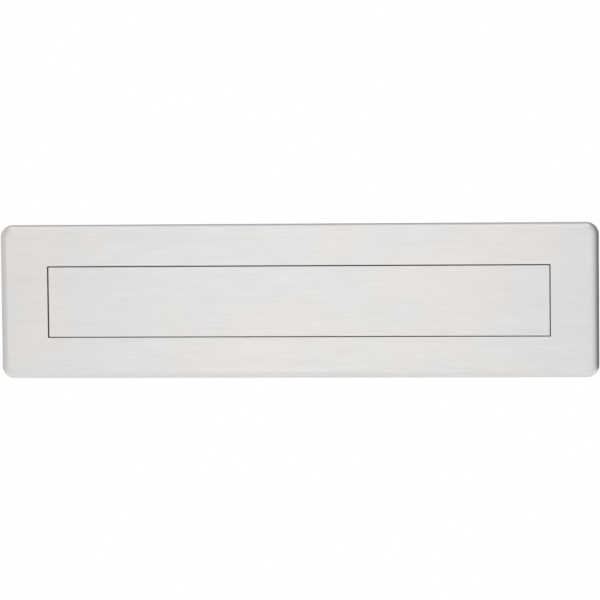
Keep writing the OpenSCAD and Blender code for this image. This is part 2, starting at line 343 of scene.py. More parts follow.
panel_rings = [
    panel_ring(DEBURR + SUPPORT, panel_back),
    panel_ring(DEBURR, panel_back),
    panel_ring(0.0, panel_back - DEBURR)]
panel_rings += [
    panel_ring(inset, panel_front + drop) for inset, drop in rounded_edge(EDGE_ROUND)[::-1]]
panel_rings += [panel_ring(EDGE_ROUND + SUPPORT, panel_front)]
flap_panel = skin("flap_panel_brushed", panel_rings)
flap_panel.data.materials.append(brushed_face)
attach(flap_panel, "flap")
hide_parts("flap_panel")

# --- Flap seal ---------------------------------------------------------------------------
# A sheet of black EPDM rubber, 1 mm thick, clamped between the panel and its backing. It
# reaches past the aperture and closes the gap from behind, so the gap looks black.

STUD_X = (-114.0, -38.0, 38.0, 114.0)
STUD_Z = -2.0
SEAL_CORNER, SEAL_HOLE, SEAL_BREAK = 1.5, 2.3, 0.06
HOLE_STEPS = 32
# points of a cut sheet that lie closer than this are one point
MERGE = 0.002


def arc(centre, radius, start, end, steps):
    """Points on an arc in a flat pattern, angles in degrees."""
    angles = [math.radians(start + (end - start) * k / steps) for k in range(steps + 1)]
    return [
        (centre[0] + radius * math.cos(a), centre[1] + radius * math.sin(a)) for a in angles]


def cut_sheet(name, outline, holes, thickness, deburr):
    """A sheet cut to an outline with round holes, flat in X and Y, its edges deburred.
    Its lower face is at 0. The hole list holds (x, y, radius)."""
    curve = bpy.data.curves.new(name, "CURVE")
    curve.dimensions = "2D"
    curve.fill_mode = "BOTH"
    curve.extrude = (thickness / 2 - deburr) * MM
    curve.bevel_depth = deburr * MM
    curve.bevel_resolution = 0
    curve.offset = -deburr * MM
    shapes = [outline] + [
        arc((x, y), radius, 360, 360 / HOLE_STEPS, HOLE_STEPS - 1) for x, y, radius in holes]
    for shape in shapes:
        spline = curve.splines.new("POLY")
        spline.points.add(len(shape) - 1)
        for point, (x, y) in zip(spline.points, shape):
            point.co = (x * MM, y * MM, 0, 1)
        spline.use_cyclic_u = True
    holder = bpy.data.objects.new(name, curve)
    bpy.context.collection.objects.link(holder)
    bpy.context.view_layer.update()
    graph = bpy.context.evaluated_depsgraph_get()
    mesh = bpy.data.meshes.new_from_object(holder.evaluated_get(graph))
    bpy.data.objects.remove(holder)
    work = bmesh.new()
    work.from_mesh(mesh)
    bmesh.ops.remove_doubles(work, verts=work.verts, dist=MERGE * MM)
    bmesh.ops.translate(work, verts=work.verts, vec=(0, 0, thickness / 2 * MM))
    work.to_mesh(mesh)
    work.free()
    mesh.materials.clear()
    return mesh


def put(mesh, place):
    """Moves each point of a flat pattern; place takes and gives millimetres."""
    for vertex in mesh.vertices:
        vertex.co = Vector(place(*(vertex.co / MM))) * MM


def calendered_rubber(name):
    """EPDM sheet, black, rolled between calender bowls: satin, with a faint drag along it
    and a little grey bloom and dust on its faces."""
    material, tree, place = new_material(name)
    # rolling marks about 0.6 mm across and 12 mm long
    drag_place = add_node(tree, "ShaderNodeMapping", inputs={
        "Vector": place, "Scale": streaks(12, 0.6)})
    drag = add_node(tree, "ShaderNodeTexNoise", inputs={
        "Vector": drag_place.outputs[0], "Scale": 1.0, "Detail": 3.0})
    # bloom in patches about 20 mm across
    bloom = add_node(tree, "ShaderNodeTexNoise", inputs={
        "Vector": place, "Scale": 1 / (20 * MM), "Detail": 4.0, "Roughness": 0.6})
    tint = add_node(
        tree, "ShaderNodeValToRGB", inputs={"Fac": bloom.outputs["Fac"]},
        stops=((0.4, "#191919"), (0.75, "#2A2A2B")))
    rough = add_node(tree, "ShaderNodeMapRange", inputs={
        "Value": drag.outputs["Fac"], "To Min": 0.5, "To Max": 0.72})
    relief = add_node(tree, "ShaderNodeBump", inputs={
        "Height": drag.outputs["Fac"], "Strength": 0.4, "Distance": 0.04 * MM})
    connect(tree, tree.nodes["Principled BSDF"], {
        "Base Color": tint.outputs["Color"], "Roughness": rough.outputs["Result"],
        "Normal": relief.outputs[0]})
    return material


def rounded_outline(low, high, radius, steps=6):
    """A rectangle in X and Z with rounded corners, between two corners of a box."""
    return (
        arc((high.x - radius, high.z - radius), radius, 0, 90, steps)
        + arc((low.x + radius, high.z - radius), radius, 90, 180, steps)
        + arc((low.x + radius, low.z + radius), radius, 180, 270, steps)
        + arc((high.x - radius, low.z + radius), radius, 270, 360, steps))


seal_low, seal_high = box_mm("flap_seal")
seal_mesh = cut_sheet(
    "flap_seal_sheet", rounded_outline(seal_low, seal_high, SEAL_CORNER),
    [(x, STUD_Z, SEAL_HOLE) for x in STUD_X], seal_high.y - seal_low.y, SEAL_BREAK)
put(seal_mesh, lambda u, v, w: (u, seal_low.y + w, v))
flap_seal = finished("flap_seal_sheet", seal_mesh)
flap_seal.data.materials.append(calendered_rubber("epdm_sheet"))
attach(flap_seal, "flap")
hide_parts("flap_seal")

# --- Flap backing ------------------------------------------------------------------------
# A 1 mm stainless blank with both ends folded back. Each folded flange ends in a hinge ear,
# and the ear's heel comes to rest on the bracket's foot when the flap is fully open.

AXIS_Y, AXIS_Z = (c / MM for c in frame["joints"][0]["pos_m"][1:])
BACKING = 1.0
BACKING_BEND = 0.8
BACKING_BREAK = 0.08
BACKING_HOLE, PIN_HOLE = 2.2, 2.02
TOP_DROP = 3.0
FOOT_RISE, FOOT_DEPTH = 1.5, 2.0
EAR_RADIUS, EAR_DEPTH, EAR_RUN = 5.0, 7.5, 12.0
HEEL_REACH, HEEL_HEIGHT = 6.0, 5.45
HEEL_TILT = math.radians(10)
# extra cuts just outside a fold keep the flats beside it flat
FOLD_STEPS, FOLD_MARGIN = 8, 0.15

backing_low, backing_high = box_mm("flap_backing")
backing_outer = BACKING_BEND + BACKING
fold_start = backing_high.x - backing_outer
fold_length = math.pi / 2 * (BACKING_BEND + BACKING / 2)
fold_y = backing_low.y + backing_outer
base_top = AXIS_Z - TOP_DROP
flange_foot = backing_low.z + FOOT_RISE


def cut_fold(mesh, start, length):
    """Cuts a flat pattern across its fold, so that it can bend there."""
    work = bmesh.new()
    work.from_mesh(mesh)
    lines = [start - FOLD_MARGIN, start + length + FOLD_MARGIN]
    lines += [start + length * k / FOLD_STEPS for k in range(FOLD_STEPS + 1)]
    for line in lines:
        bmesh.ops.bisect_plane(
            work, geom=work.verts[:] + work.edges[:] + work.faces[:],
            plane_co=(line * MM, 0, 0), plane_no=(1, 0, 0), dist=1e-7)
    bmesh.ops.remove_doubles(work, verts=work.verts, dist=MERGE * MM)
    bmesh.ops.dissolve_degenerate(work, edges=work.edges, dist=MERGE * MM)
    work.to_mesh(mesh)
    work.free()


def bent(past, w, outer, length):
    """A point past the start of a right-angled fold and w above the sheet's lower face:
    how far it ends up beyond that start, and how far it stands back."""
    if past <= 0:
        return past, w
    radius = outer - w
    if past >= length:
        return radius, outer + past - length
    turn = past / length * math.pi / 2
    return radius * math.sin(turn), outer - radius * math.cos(turn)


def flange_u(y):
    """Where a point at depth y on the flange lies in the flat pattern."""
    return fold_start + fold_length + y - fold_y


def ear_point(y, z):
    """A point of the flat pattern, from its place about the hinge axis."""
    return flange_u(AXIS_Y + y), AXIS_Z + z


def heel_point(reach, rise):
    """A point of the heel, which stands square on a line tilted to the stop's angle."""
    return ear_point(
        reach * math.cos(HEEL_TILT) - rise * math.sin(HEEL_TILT),
        reach * math.sin(HEEL_TILT) + rise * math.cos(HEEL_TILT))


right_side = [
    (fold_start - 0.4, backing_low.z),
    (fold_start - 0.2, backing_low.z + 0.6),
    (fold_start + 0.3, flange_foot),
    (flange_u(FOOT_DEPTH - 0.4), flange_foot),
    (flange_u(FOOT_DEPTH), flange_foot + 0.5),
    (flange_u(EAR_DEPTH), AXIS_Z - EAR_RUN),
    ear_point(EAR_RADIUS, 0.0),
    heel_point(HEEL_REACH, 0.0),
    heel_point(HEEL_REACH, HEEL_HEIGHT),
    heel_point(0.0, HEEL_HEIGHT)]
right_side += arc(ear_point(0, 0), EAR_RADIUS, 105, 145, 5)
right_side += [
    (flange_u(fold_y + 0.1), AXIS_Z + 1.5),
    (flange_u(fold_y + 0.1), base_top + 0.8),
    (fold_start + 0.3, base_top + 0.3),
    (fold_start - 0.1, base_top)]
left_side = [(-u, v) for u, v in right_side[::-1]]
backing_holes = [(x, STUD_Z, BACKING_HOLE) for x in STUD_X]
backing_holes += [(side * flange_u(AXIS_Y), AXIS_Z, PIN_HOLE) for side in (-1, 1)]
backing_mesh = cut_sheet(
    "flap_backing_folded", right_side + left_side, backing_holes, BACKING, BACKING_BREAK)
cut_fold(backing_mesh, fold_start, fold_length)
cut_fold(backing_mesh, -fold_start - fold_length, fold_length)


def fold_back(u, v, w):
    """Folds both ends of the backing to the rear."""
    along, back = bent(abs(u) - fold_start, w, backing_outer, fold_length)
    return math.copysign(fold_start + along, u), backing_low.y + back, v


put(backing_mesh, fold_back)
flap_backing = finished("flap_backing_folded", backing_mesh)
flap_backing.data.materials.append(mill_stainless("mill_stainless"))
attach(flap_backing, "flap")
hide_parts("flap_backing")

# --- Flap studs and nuts -----------------------------------------------------------------
# Four M4 studs are fired on to the back of the panel, so nothing shows on its face, and
# chamfered hexagon nuts clamp the backing and the rubber on them.

ROUND_STEPS = 48
NUT_STEPS = 72
ROWS_PER_PITCH = 8
M4_MAJOR, M4_PITCH, M4_DEPTH = 2.0, 0.7, 0.38
NUT_ACROSS, NUT_FACE = 7.0, 0.97
NUT_BORE, NUT_MOUTH, NUT_SINK = M4_MAJOR - 0.02, M4_MAJOR + 0.25, 0.3
# each nut has stopped at its own angle
NUT_TURN = 17
# shares of half a thread's pitch: its flat root, then its flank; the rest is the flat crest
ROOT_FLAT, FLANK = 0.12, 0.62


def ring_about(axis, centre, along, radius, steps=ROUND_STEPS):
    """One ring of points about an axis. Radius and along may be functions of the angle."""
    points = []
    for k in range(steps):
        angle = 2 * math.pi * k / steps
        r = radius(angle) if callable(radius) else radius
        s = along(angle) if callable(along) else along
        side, up = r * math.cos(angle), r * math.sin(angle)
        if axis == "X":
            points.append((centre[0] + s, centre[1] + side, centre[2] + up))
        else:
            points.append((centre[0] + side, centre[1] + s, centre[2] + up))
    return points


def turned(axis, centre, profile, steps=ROUND_STEPS):
    """Rings of a turned form, from its profile as (place along the axis, radius) pairs."""
    return [ring_about(axis, centre, along, radius, steps) for along, radius in profile]


def thread_rings(centre, start, end, low, high, pitch, lead=1.5):
    """Rings of a rolled thread along Y between two radii, fading in from the low one over
    its lead in turns at both ends."""
    rows = int(abs(end - start) / pitch * ROWS_PER_PITCH)
    rings = []
    for row in range(rows + 1):
        s = start + (end - start) * row / rows
        fade = min(1.0, abs(s - start) / pitch / lead, abs(end - s) / pitch / lead)

        def radius(angle, s=s, fade=fade):
            phase = (s / pitch + angle / (2 * math.pi)) % 1.0
            wave = 1 - abs(2 * phase - 1)
            flank = min(1.0, max(0.0, (wave - ROOT_FLAT) / FLANK))
            return low + (high - low) * flank * fade

        rings.append(ring_about("Y", centre, s, radius))
    return rings


def cold_headed_steel(name):
    """Stainless fastener steel, cold-headed and rolled, then passivated: greyish and even,
    with fine tool marks and slightly worn high spots."""
    material, tree, place = new_material(name)
    # tool marks about 0.25 mm
    marks = add_node(tree, "ShaderNodeTexNoise", inputs={
        "Vector": place, "Scale": 1 / (0.25 * MM), "Detail": 2.0})
    # stains from the passivating bath, about 3 mm
    stain = add_node(tree, "ShaderNodeTexNoise", inputs={
        "Vector": place, "Scale": 1 / (3 * MM), "Detail": 3.0})
    tint = add_node(
        tree, "ShaderNodeValToRGB", inputs={"Fac": stain.outputs["Fac"]},
        stops=((0.35, "#B4B5B6"), (0.7, "#CBCAC7")))
    rough = add_node(tree, "ShaderNodeMapRange", inputs={
        "Value": stain.outputs["Fac"], "To Min": 0.22, "To Max": 0.4})
    relief = add_node(tree, "ShaderNodeBump", inputs={
        "Height": marks.outputs["Fac"], "Strength": 0.25, "Distance": 0.01 * MM})
    connect(tree, tree.nodes["Principled BSDF"], {
        "Base Color": tint.outputs["Color"], "Roughness": rough.outputs["Result"],
        "Normal": relief.outputs[0], "Metallic": 1.0})
    return material


def joined(name, pieces, sharp=32):
    """One piece made of several, for fasteners of one kind."""
    work = bmesh.new()
    for piece in pieces:
        work.from_mesh(piece.data)
    mesh = bpy.data.meshes.new(name)
    work.to_mesh(mesh)
    work.free()
    for piece in pieces:
        bpy.data.objects.remove(piece)
    return finished(name, mesh, sharp)


fastener_steel = cold_headed_steel("cold_headed_stainless")
stud_low, stud_high = box_mm("flap_studs")
studs = []
for x in STUD_X:
    centre = (x, 0.0, STUD_Z)
    rings = [ring_about("Y", centre, stud_low.y, M4_MAJOR)]
    rings += thread_rings(
        centre, stud_low.y + 0.2, stud_high.y - 0.4, M4_MAJOR - M4_DEPTH, M4_MAJOR, M4_PITCH)
    rings += [ring_about("Y", centre, stud_high.y, M4_MAJOR - M4_DEPTH - 0.15)]
    studs.append(skin("stud", rings))
flap_studs = joined("flap_studs_threaded", studs)
flap_studs.data.materials.append(fastener_steel)
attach(flap_studs, "flap")
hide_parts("flap_studs")


def hexagon(across):
    """Radius of a hexagon at an angle, for a ring."""
    return lambda angle: (
        across / 2 / math.cos((angle + math.pi / 6) % (math.pi / 3) - math.pi / 6))


nut_low, nut_high = box_mm("flap_nuts")
nut_height = nut_high.y - nut_low.y
nut_face = NUT_ACROSS / 2 * NUT_FACE
nut_edge = hexagon(NUT_ACROSS)


def chamfer_drop(angle):
    """How far the nut's 30 degree corner chamfer has dropped at the hexagon's edge."""
    return (nut_edge(angle) - nut_face) * math.tan(math.radians(30))


nut_profile = [
    (NUT_SINK, NUT_BORE), (0.0, NUT_MOUTH), (0.0, nut_face), (chamfer_drop, nut_edge),
    (lambda angle: nut_height - chamfer_drop(angle), nut_edge),
    (nut_height, nut_face), (nut_height, NUT_MOUTH), (nut_height - NUT_SINK, NUT_BORE)]
nuts = []
for number, x in enumerate(STUD_X):
    nut = skin("nut", turned("Y", (0, 0, 0), nut_profile, NUT_STEPS), closed=True)
    nut.data.transform(
        Matrix.Translation(Vector((x, nut_low.y, STUD_Z)) * MM)
        @ Matrix.Rotation(math.radians(NUT_TURN * number), 4, "Y"))
    nuts.append(nut)
flap_nuts = joined("flap_nuts_hexagon", nuts, sharp=22)
flap_nuts.data.materials.append(fastener_steel)
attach(flap_nuts, "flap")
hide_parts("flap_nuts")

# --- Hinge brackets ----------------------------------------------------------------------
# Two folded angles of 1.5 mm stainless, each held by two spot welds on the back of the
# plate. The upright ear is bored for the bush that the hinge pin turns in.

BRACKET_BEND = 1.0
BRACKET_BREAK = 0.1
BRACKET_CLEARANCE = 1.0
FOOT_CORNER = 1.5
BUSH_BODY = 3.0
WELD_STEPS_X = (3.6, 8.0)
WELD_RISE = 0.4
WELD_REACH = 3.8

bracket_outer = BRACKET_BEND + SHEET
bracket_low, bracket_high = box_mm("hinge_bracket_right")
bracket_fold = math.pi / 2 * (BRACKET_BEND + SHEET / 2)
bend_x = bracket_low.x + bracket_outer
foot_end = bend_x - bracket_high.x
foot_low, foot_high = base_top + BRACKET_CLEARANCE, bracket_high.z
# in the flat pattern the foot lies left of the fold and the ear right of it
bracket_eye = (bracket_fold + AXIS_Y - bracket_low.y - bracket_outer, AXIS_Z)
bracket_outline = (
    [(0.0, foot_low)]
    + arc(bracket_eye, EAR_RADIUS, 204, 428, 28)
    + [(bracket_fold, foot_high), (0.0, foot_high)]
    + arc((foot_end + FOOT_CORNER, foot_high - FOOT_CORNER), FOOT_CORNER, 90, 180, 5)
    + arc((foot_end + FOOT_CORNER, foot_low + FOOT_CORNER), FOOT_CORNER, 180, 270, 5))


def bracket_point(side):
    """Folds the flat bracket: the foot lies on the plate's back, the ear stands out of it."""
    def place(u, v, w):
        along, back = bent(u, w, bracket_outer, bracket_fold)
        return side * (bend_x - along), bracket_low.y + back, v
    return place


weld_z = (foot_low + foot_high) / 2 + WELD_RISE
weld_spots = [
    (side * (bend_x + step), bracket_low.y + SHEET, weld_z)
    for side in (-1, 1) for step in WELD_STEPS_X]
bracket_steel = mill_stainless(
    "mill_stainless_welded", [(spot, WELD_REACH) for spot in weld_spots])
for side, name in ((-1, "hinge_bracket_left"), (1, "hinge_bracket_right")):
    mesh = cut_sheet(
        name + "_folded", bracket_outline, [(*bracket_eye, BUSH_BODY)], SHEET, BRACKET_BREAK)
    cut_fold(mesh, 0.0, bracket_fold)
    put(mesh, bracket_point(side))
    bracket = finished(name + "_folded", mesh)
    bracket.data.materials.append(bracket_steel)
    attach(bracket, "plate")
    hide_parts(name)

# the welding electrode leaves a shallow pit with a raised lip at each spot
PIT_PROFILE = ((-0.05, 1.75), (0.03, 1.6), (0.06, 1.4), (0.02, 1.2), (0.008, 0.6), (0.006, 0.1))
pits = [skin("pit", turned("Y", spot, PIT_PROFILE)) for spot in weld_spots]
weld_pits = joined("bracket_spot_welds", pits)
weld_pits.data.materials.append(bracket_steel)
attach(weld_pits, "plate")

# --- Bushes ------------------------------------------------------------------------------
# Injection-moulded natural nylon, pressed into the brackets from outside. The flange keeps
# the flap's ear off the bracket, and the long snout carries the spring's coil.

BUSH_BORE, SNOUT, BUSH_FLANGE = 2.05, 3.2, 4.6


def moulded_nylon(name):
    """Natural nylon 66, moulded: milky off-white, slightly translucent, satin from the
    polished tool with faint flow marks."""
    material, tree, place = new_material(name)
    # flow marks about 4 mm across
    flow = add_node(tree, "ShaderNodeTexNoise", inputs={
        "Vector": place, "Scale": 1 / (4 * MM), "Detail": 3.0, "Distortion": 0.6})
    tint = add_node(
        tree, "ShaderNodeValToRGB", inputs={"Fac": flow.outputs["Fac"]},
        stops=((0.3, "#E2DDCD"), (0.7, "#ECE9DD")))
    rough = add_node(tree, "ShaderNodeMapRange", inputs={
        "Value": flow.outputs["Fac"], "To Min": 0.36, "To Max": 0.5})
    relief = add_node(tree, "ShaderNodeBump", inputs={
        "Height": flow.outputs["Fac"], "Strength": 0.2, "Distance": 0.03 * MM})
    connect(tree, tree.nodes["Principled BSDF"], {
        "Base Color": tint.outputs["Color"], "Roughness": rough.outputs["Result"],
        "Normal": relief.outputs[0], "IOR": 1.53, "Subsurface Weight": 0.2,
        "Subsurface Radius": (1.0 * MM, 0.9 * MM, 0.7 * MM)})
    return material


nylon = moulded_nylon("moulded_nylon")
bush_low, bush_high = box_mm("bracket_bush_right")
ear_inside, ear_outside = bracket_low.x, bracket_low.x + SHEET
bush_profile = [
    (bush_low.x, BUSH_BORE), (bush_low.x, SNOUT - 0.45), (bush_low.x + 0.35, SNOUT),
    (ear_inside - 0.5, SNOUT), (ear_inside - 0.1, SNOUT),
    (ear_inside, BUSH_BODY), (ear_outside, BUSH_BODY),
    (ear_outside, BUSH_FLANGE - 0.15), (ear_outside + 0.15, BUSH_FLANGE),
    (bush_high.x - 0.2, BUSH_FLANGE), (bush_high.x, BUSH_FLANGE - 0.2),
    (bush_high.x, BUSH_BORE + 0.3), (bush_high.x - 0.3, BUSH_BORE)]
for side, name in ((-1, "bracket_bush_left"), (1, "bracket_bush_right")):
    profile = [(side * x, radius) for x, radius in bush_profile]
    bush = skin(name + "_moulded", turned("X", (0, AXIS_Y, AXIS_Z), profile), closed=True)
    bush.data.materials.append(nylon)
    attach(bush, "plate")
    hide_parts(name)

# --- Hinge pin ---------------------------------------------------------------------------
# A cold-drawn stainless rod, 4 mm thick, cut and chamfered on a lathe, with a groove near
# each end for its clip. It turns with the flap.

PIN_RADIUS, GROOVE_RADIUS, PIN_LEAD = 2.0, 1.6, 0.4
GROOVE_PLAY, GROOVE_BREAK = 0.05, 0.1


def drawn_stainless(name, along):
    """Cold-drawn stainless bar: bright, with fine die lines along the drawn length.
    The pattern's scale gives the direction that the lines run in."""
    material, tree, place = new_material(name)
    line_place = add_node(tree, "ShaderNodeMapping", inputs={
        "Vector": place, "Scale": along})
    lines = add_node(tree, "ShaderNodeTexNoise", inputs={
        "Vector": line_place.outputs[0], "Scale": 1.0, "Detail": 2.0})
    # faint clouding about 6 mm across
    cloud = add_node(tree, "ShaderNodeTexNoise", inputs={
        "Vector": place, "Scale": 1 / (6 * MM), "Detail": 3.0})
    tint = add_node(
        tree, "ShaderNodeValToRGB", inputs={"Fac": cloud.outputs["Fac"]},
        stops=((0.35, "#C4C4C4"), (0.7, "#D6D4D0")))
    rough = add_node(tree, "ShaderNodeMapRange", inputs={
        "Value": lines.outputs["Fac"], "To Min": 0.18, "To Max": 0.34})
    relief = add_node(tree, "ShaderNodeBump", inputs={
        "Height": lines.outputs["Fac"], "Strength": 0.3, "Distance": 0.01 * MM})
    connect(tree, tree.nodes["Principled BSDF"], {
        "Base Color": tint.outputs["Color"], "Roughness": rough.outputs["Result"],
        "Normal": relief.outputs[0], "Metallic": 1.0})
    return material


_, pin_high = box_mm("hinge_pin")
clip_low, clip_high = box_mm("pin_clip_right")
groove_start, groove_end = clip_low.x - GROOVE_PLAY, clip_high.x + GROOVE_PLAY
half_pin = [
    (groove_start - GROOVE_BREAK, PIN_RADIUS), (groove_start, PIN_RADIUS - GROOVE_BREAK),
    (groove_start, GROOVE_RADIUS), (groove_end, GROOVE_RADIUS),
    (groove_end, PIN_RADIUS - GROOVE_BREAK), (groove_end + GROOVE_BREAK, PIN_RADIUS),
    (pin_high.x - PIN_LEAD, PIN_RADIUS), (pin_high.x - 0.04, PIN_RADIUS - PIN_LEAD + 0.04),
    (pin_high.x, PIN_RADIUS - PIN_LEAD - 0.1)]
whole_pin = [(-x, radius) for x, radius in half_pin[::-1]] + half_pin
hinge_pin = skin("hinge_pin_turned", turned("X", (0, AXIS_Y, AXIS_Z), whole_pin))
# die lines about 0.2 mm apart and 80 mm long
hinge_pin.data.materials.append(drawn_stainless("drawn_stainless_rod", streaks(80, 0.2)))
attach(hinge_pin, "flap")
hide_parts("hinge_pin")

# --- Pin clips ---------------------------------------------------------------------------
# E-clips stamped from 0.7 mm spring strip. Three lugs grip the groove and the open side
# lets the clip be pushed on; they keep the pin from walking out of the ears.

CLIP_BREAK = 0.05
# half of the open side, the ring's inner radius, and the radius that the lugs grip at
MOUTH, THROAT, GRIP = 1.52, 2.45, 1.62
LUG_DEPTH = 1.75
clip_radius = (clip_high.z - clip_low.z) / 2 + 0.02


def spring_stainless(name):
    """Hard-drawn stainless spring steel: a dull grey skin from the drawing soap with
    brighter rubbed places."""
    material, tree, place = new_material(name)
    # rubbed places about 1.2 mm across
    rubbed = add_node(tree, "ShaderNodeTexNoise", inputs={
        "Vector": place, "Scale": 1 / (1.2 * MM), "Detail": 4.0, "Roughness": 0.65})
    tint = add_node(
        tree, "ShaderNodeValToRGB", inputs={"Fac": rubbed.outputs["Fac"]},
        stops=((0.38, "#9A9B9D"), (0.66, "#C3C2BF")))
    rough = add_node(tree, "ShaderNodeMapRange", inputs={
        "Value": rubbed.outputs["Fac"], "To Min": 0.42, "To Max": 0.24})
    relief = add_node(tree, "ShaderNodeBump", inputs={
        "Height": rubbed.outputs["Fac"], "Strength": 0.2, "Distance": 0.01 * MM})
    connect(tree, tree.nodes["Principled BSDF"], {
        "Base Color": tint.outputs["Color"], "Roughness": rough.outputs["Result"],
        "Normal": relief.outputs[0], "Metallic": 1.0})
    return material


def clip_outline():
    """The E shape about the pin, open downwards: its outside, then its inside with a lug
    at the left, the top and the right."""
    shape = arc((0, 0), clip_radius, -62, 242, 40)
    shape += [(-MOUTH, -clip_radius * 0.84), (-MOUTH, -LUG_DEPTH)]
    shape += arc((0, 0), THROAT, 225, 195, 4) + arc((0, 0), GRIP, 189, 171, 3)
    shape += arc((0, 0), THROAT, 165, 108, 6) + arc((0, 0), GRIP, 99, 81, 3)
    shape += arc((0, 0), THROAT, 72, 15, 6) + arc((0, 0), GRIP, 9, -9, 3)
    shape += arc((0, 0), THROAT, -15, -45, 4)
    return shape + [(MOUTH, -LUG_DEPTH), (MOUTH, -clip_radius * 0.84)]


spring_steel = spring_stainless("hard_drawn_spring_steel")
for side, name in ((-1, "pin_clip_left"), (1, "pin_clip_right")):
    mesh = cut_sheet(
        name + "_stamped", clip_outline(), [], clip_high.x - clip_low.x, CLIP_BREAK)
    put(mesh, lambda u, v, w: (side * (clip_low.x + w), AXIS_Y + u, AXIS_Z + v))
    clip = finished(name + "_stamped", mesh)
    clip.data.materials.append(spring_steel)
    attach(clip, "flap")
    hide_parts(name)

# --- Return springs ----------------------------------------------------------------------
# Torsion springs of 1 mm wire with eight close turns round the bush's snout. The outer leg
# bears on the plate's back and the inner leg on the flap, so they wind as the flap opens.

WIRE = 1.0
COIL = 4.0
TURNS, STEPS_PER_TURN = 8, 40
LEG_STEPS = 10
LEG_TIP = 0.08
SHEARED_END = 0.72
UPPER_PLAY, LOWER_PLAY, END_PLAY = 0.08, 0.05, 0.1


def swept_wire(name, path, radius, steps=12):
    """A round wire along a path, with its ends slightly rounded from shearing."""
    rings = []
    points = [Vector(p) for p in path]
    for i, point in enumerate(points):
        before, after = points[max(i - 1, 0)], points[min(i + 1, len(points) - 1)]
        direction = (after - before).normalized()
        if i == 0:
            normal = direction.orthogonal().normalized()
        else:
            normal = last.rotation_difference(direction) @ normal
            normal = (normal - direction * normal.dot(direction)).normalized()
        last = direction
        other = direction.cross(normal)
        size = radius * (SHEARED_END if i in (0, len(points) - 1) else 1.0)
        turns = [2 * math.pi * k / steps for k in range(steps)]
        rings.append([
            tuple(point + size * (math.cos(t) * normal + math.sin(t) * other))
            for t in turns])
    return skin(name, rings, sharp=50)


def leg(x, start, end):
    """A straight leg from start to end, each (y, z), without its start."""
    return [(x, start[0] + (end[0] - start[0]) * k / LEG_STEPS,
             start[1] + (end[1] - start[1]) * k / LEG_STEPS) for k in range(1, LEG_STEPS + 1)]


spring_low, spring_high = box_mm("return_spring_right")
outer_x, inner_x = spring_high.x - WIRE / 2, spring_low.x + WIRE / 2
coil_front = (AXIS_Y - COIL, AXIS_Z)
upper_end = (web_y + WIRE / 2 + UPPER_PLAY, spring_high.z - END_PLAY)
lower_end = (backing_low.y + BACKING + WIRE / 2 + LOWER_PLAY, spring_low.z + END_PLAY)


def spring_path(side):
    """From the end of the plate's leg, round the coil and down the flap's leg."""
    path = [(outer_x, upper_end[0] - 0.02, upper_end[1] + LEG_TIP)]
    path += leg(outer_x, coil_front, upper_end)[::-1]
    steps = TURNS * STEPS_PER_TURN
    for k in range(steps + 1):
        angle = math.pi + 2 * math.pi * k / STEPS_PER_TURN
        path.append((
            outer_x + (inner_x - outer_x) * k / steps,
            AXIS_Y + COIL * math.cos(angle), AXIS_Z + COIL * math.sin(angle)))
    path += leg(inner_x, coil_front, lower_end)
    path.append((inner_x, lower_end[0], lower_end[1] - LEG_TIP))
    return [(side * x, y, z) for x, y, z in path]


for side, name in ((-1, "return_spring_left"), (1, "return_spring_right")):
    spring = swept_wire(name + "_wound", spring_path(side), WIRE / 2)
    spring.data.materials.append(spring_steel)
    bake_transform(spring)
    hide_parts(name)

# --- Fixing barrels ----------------------------------------------------------------------
# Stainless posts turned from 8 mm bar and threaded M5 from the end, one at each end of the
# plate. They are welded to its back and leave a small collar of weld metal there.

M5_MAJOR, M5_PITCH, M5_DEPTH = 2.45, 0.8, 0.42
TAPPED, TAP_CREST = 2.12, 2.42
DRILLED, BORE_DEPTH, DRILL_TIP = 2.1, 13.0, 1.0
MOUTH_SINK = 0.5
# height and overhang of the weld collar, from the plate up
COLLAR = ((0.0, 0.75), (0.12, 0.7), (0.34, 0.42), (0.6, 0.14))
COLLAR_END = 0.85
# how much the collar's edge wanders, at how many waves round it
RIPPLES = ((3, 0.12), (7, 0.08), (13, 0.05))

barrel_radius = (barrel_high.x - barrel_low.x) / 2
barrel_base, barrel_mouth = barrel_low.y, barrel_high.y
# die lines about 0.2 mm apart and 80 mm long, along the barrel
barrel_steel = drawn_stainless(
    "turned_stainless_bar", (1 / (0.2 * MM), 1 / (80 * MM), 1 / (0.2 * MM)))


def collar_edge(overhang, phases):
    """Radius of the weld collar at an angle, a little uneven."""
    return lambda angle: barrel_radius + overhang * (1 + sum(
        size * math.sin(waves * angle + phase)
        for (waves, size), phase in zip(RIPPLES, phases)))


for side, name in ((-1, "fixing_barrel_left"), (1, "fixing_barrel_right")):
    centre = (side * barrel_x, 0, 0)
    wobble = random.Random(7 + side)
    phases = [wobble.uniform(0, 2 * math.pi) for _ in RIPPLES]
    rings = turned("Y", centre, [
        (barrel_base + height, collar_edge(overhang, phases)) for height, overhang in COLLAR])
    rings += turned("Y", centre, [
        (barrel_base + COLLAR_END, barrel_radius),
        (barrel_mouth - 0.5, barrel_radius),
        (barrel_mouth - 0.45, barrel_radius - 0.05),
        (barrel_mouth, barrel_radius - 0.5),
        (barrel_mouth, DRILLED + MOUTH_SINK)])
    rings += thread_rings(
        centre, barrel_mouth - 0.4, barrel_mouth - BORE_DEPTH + 1.5,
        TAPPED, TAP_CREST, M5_PITCH, lead=0.8)
    rings += turned("Y", centre, [
        (barrel_mouth - BORE_DEPTH, DRILLED),
        (barrel_mouth - BORE_DEPTH - DRILL_TIP, 0.1)])
    barrel = skin(name + "_turned", rings)
    barrel.data.materials.append(barrel_steel)
    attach(barrel, "plate")
    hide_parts(name)

# --- Fixing screws -----------------------------------------------------------------------
# M5 button-head screws with a hexagon socket. They come through the door from the room and
# pull the barrels, so no fixing shows on the street side.

